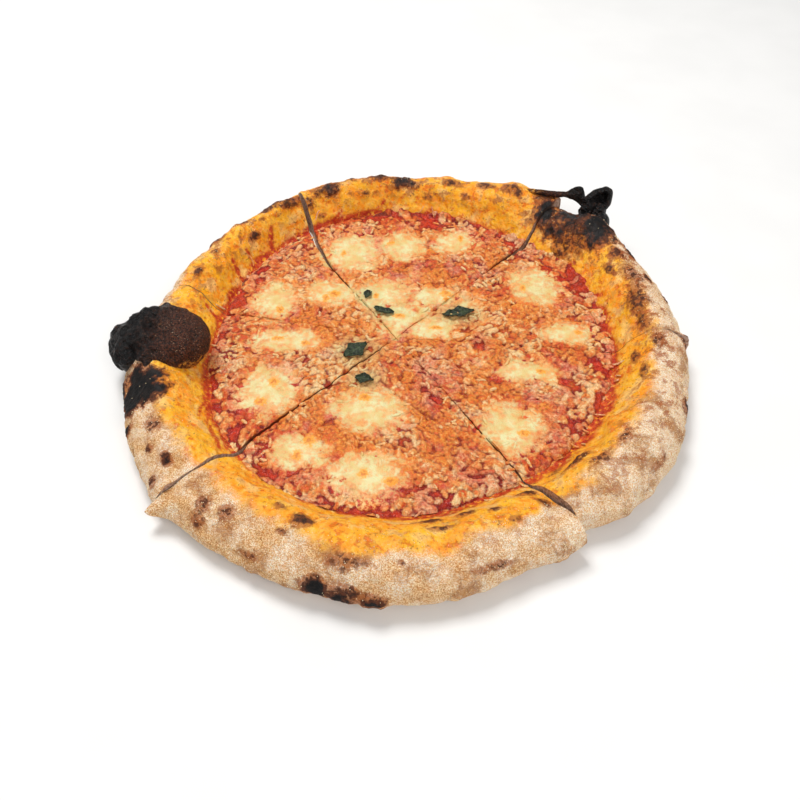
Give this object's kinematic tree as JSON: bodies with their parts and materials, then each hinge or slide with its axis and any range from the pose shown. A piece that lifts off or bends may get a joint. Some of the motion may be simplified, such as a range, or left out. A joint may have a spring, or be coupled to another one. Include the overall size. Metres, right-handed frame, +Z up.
{
  "type": "margherita pizza",
  "caption": "Round thin-base pizza with a puffed, charred rim, cut into wedges and topped with tomato, melted cheese pools and basil.",
  "frame": {"origin": "centre of the bounding box on the flat underside", "axes": "+Z up from the underside through the topping, -Y towards the widest slice (the side seen nearest), +X to its right, the side opposite the large charred bubble"},
  "size_m": [0.3374, 0.3345, 0.0421],
  "materials": {
    "baked_dough": null,
    "sauce_and_cheese": null,
    "melted_mozzarella": null,
    "basil": null
  },
  "bodies": {
    "root": {"crust_back": "baked_dough", "crust_back_left": "baked_dough", "crust_left": "baked_dough", "crust_front": "baked_dough", "crust_front_right": "baked_dough", "crust_back_right": "baked_dough", "topping_back": "sauce_and_cheese", "topping_back_left": "sauce_and_cheese", "topping_left": "sauce_and_cheese", "topping_front": "sauce_and_cheese", "topping_front_right": "sauce_and_cheese", "topping_back_right": "sauce_and_cheese", "mozzarella_01": "melted_mozzarella", "mozzarella_02": "melted_mozzarella", "mozzarella_03": "melted_mozzarella", "mozzarella_04": "melted_mozzarella", "mozzarella_05": "melted_mozzarella", "mozzarella_06": "melted_mozzarella", "mozzarella_07": "melted_mozzarella", "mozzarella_08": "melted_mozzarella", "mozzarella_09": "melted_mozzarella", "mozzarella_10": "melted_mozzarella", "mozzarella_11": "melted_mozzarella", "mozzarella_12": "melted_mozzarella", "mozzarella_13": "melted_mozzarella", "mozzarella_14": "melted_mozzarella", "mozzarella_15": "melted_mozzarella", "mozzarella_16": "melted_mozzarella", "mozzarella_17": "melted_mozzarella", "mozzarella_18": "melted_mozzarella", "basil_1": "basil", "basil_2": "basil", "basil_3": "basil", "basil_4": "basil", "basil_5": "basil"}
  },
  "joints": []
}
